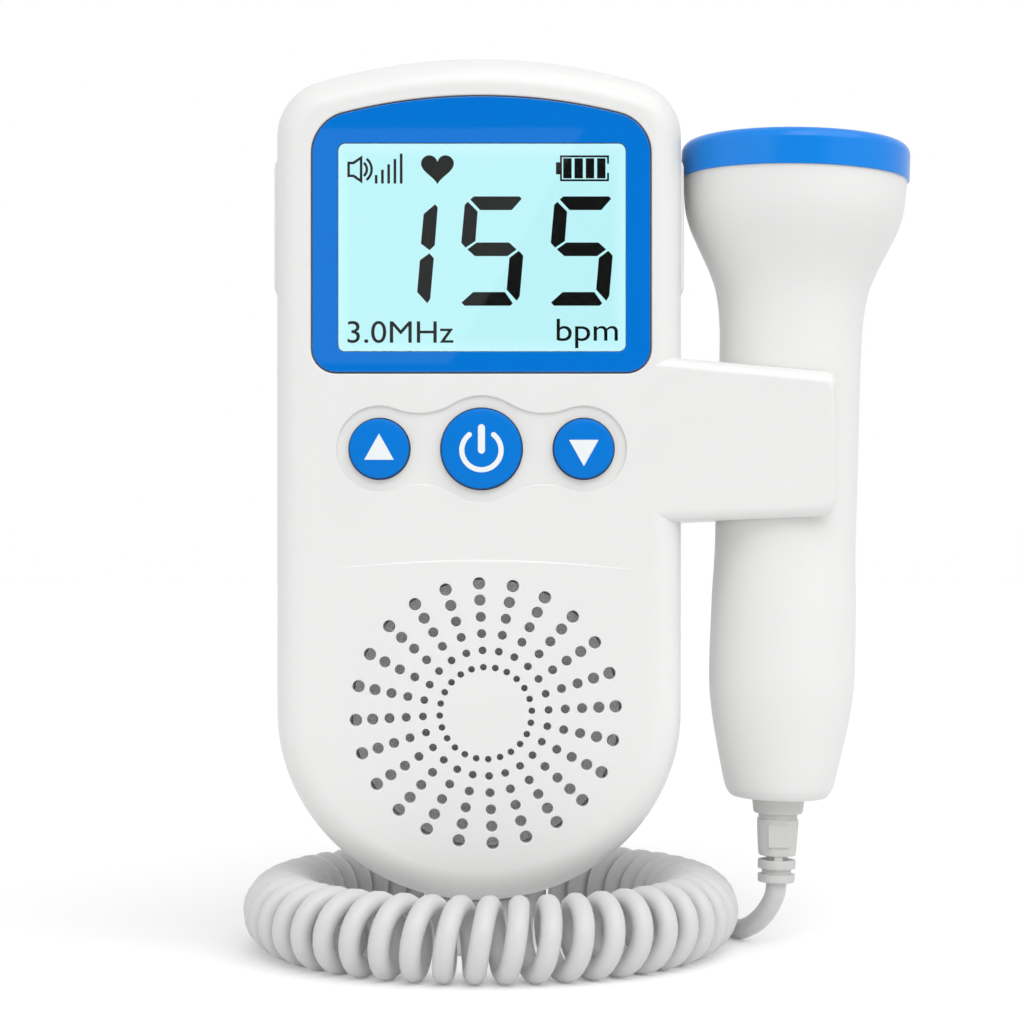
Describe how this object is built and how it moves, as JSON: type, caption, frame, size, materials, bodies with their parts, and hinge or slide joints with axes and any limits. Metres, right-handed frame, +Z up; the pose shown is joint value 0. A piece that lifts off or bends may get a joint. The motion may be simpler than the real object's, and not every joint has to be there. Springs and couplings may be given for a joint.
{
  "type": "fetal doppler monitor",
  "caption": "Hand-held heartbeat monitor with a lit display, round push keys and a fan of speaker holes; its ultrasound probe rests in a side clip on a curly lead coiled round the foot.",
  "frame": {"origin": "centre of the cable boot's flat underside, on the floor, below the main unit's middle", "axes": "+Z up, the display faces -Y, the probe is on the +X side"},
  "size_m": [0.1076, 0.0822, 0.142],
  "materials": {
    "white_housing": "glossy white ABS",
    "white_probe": "satin white ABS",
    "blue_lens": "glossy blue panel",
    "blue_plastic": "glossy blue ABS",
    "clear_window": "clear acrylic",
    "display_glass": "lit pale cyan liquid crystal display",
    "white_backlight": "matt white",
    "green_board": "solder-masked laminate",
    "grey_rubber": "matt silicone",
    "dark_mesh": "woven dust mesh",
    "black_cone": "pressed paper",
    "ferrite": "sintered ferrite",
    "plated_steel": "nickel-plated",
    "grey_socket": "moulded nylon",
    "cell_can": "printed sleeve",
    "light_grey_cord": "satin light grey jacket",
    "crystal": "silvered ceramic"
  },
  "bodies": {
    "root": {"front_housing": "white_housing", "rear_housing": "white_housing", "probe_clip": "white_housing", "side_grip_left": "white_housing", "side_grip_right": "white_housing", "lens_panel": "blue_lens", "display_window": "clear_window", "display_glass": "display_glass", "display_backlight": "white_backlight", "main_board": "green_board", "keypad_membrane": "grey_rubber", "speaker_mesh": "dark_mesh", "speaker_cone": "black_cone", "speaker_magnet": "ferrite", "speaker_basket": "plated_steel", "battery_contacts": "plated_steel", "housing_screws": "plated_steel", "earphone_socket": "grey_socket", "battery_cell_left": "cell_can", "battery_cell_right": "cell_can", "cable_boot": "light_grey_cord", "cord_tail": "light_grey_cord", "cord_coil": "light_grey_cord", "cord_lead": "light_grey_cord"},
    "up_key": {"up_button": "blue_plastic"},
    "power_key": {"power_button": "blue_plastic"},
    "down_key": {"down_button": "blue_plastic"},
    "battery_door": {"battery_cover": "white_housing"},
    "probe": {"probe_shell": "white_probe", "face_ring": "blue_plastic", "acoustic_face": "blue_plastic", "crystal_pair": "crystal", "backing_cup": "grey_rubber", "probe_board": "green_board", "probe_strain_relief": "light_grey_cord"}
  },
  "joints": [
    {"name": "up_press", "type": "slide", "parent": "root", "child": "up_key", "axis": [0, 1, 0], "range_m": [0, 0.0006], "stiffness_N_per_m": 600, "springref_m": -0.001},
    {"name": "power_press", "type": "slide", "parent": "root", "child": "power_key", "axis": [0, 1, 0], "range_m": [0, 0.0006], "stiffness_N_per_m": 600, "springref_m": -0.001},
    {"name": "down_press", "type": "slide", "parent": "root", "child": "down_key", "axis": [0, 1, 0], "range_m": [0, 0.0006], "stiffness_N_per_m": 600, "springref_m": -0.001},
    {"name": "cover_hinge", "type": "hinge", "parent": "root", "child": "battery_door", "pos_m": [0, 0.0136, 0.0292], "axis": [-1, 0, 0], "range_deg": [0, 95]},
    {"name": "probe_release", "type": "slide", "parent": "root", "child": "probe", "axis": [1, 0, 0], "range_m": [0, 0.03]}
  ]
}
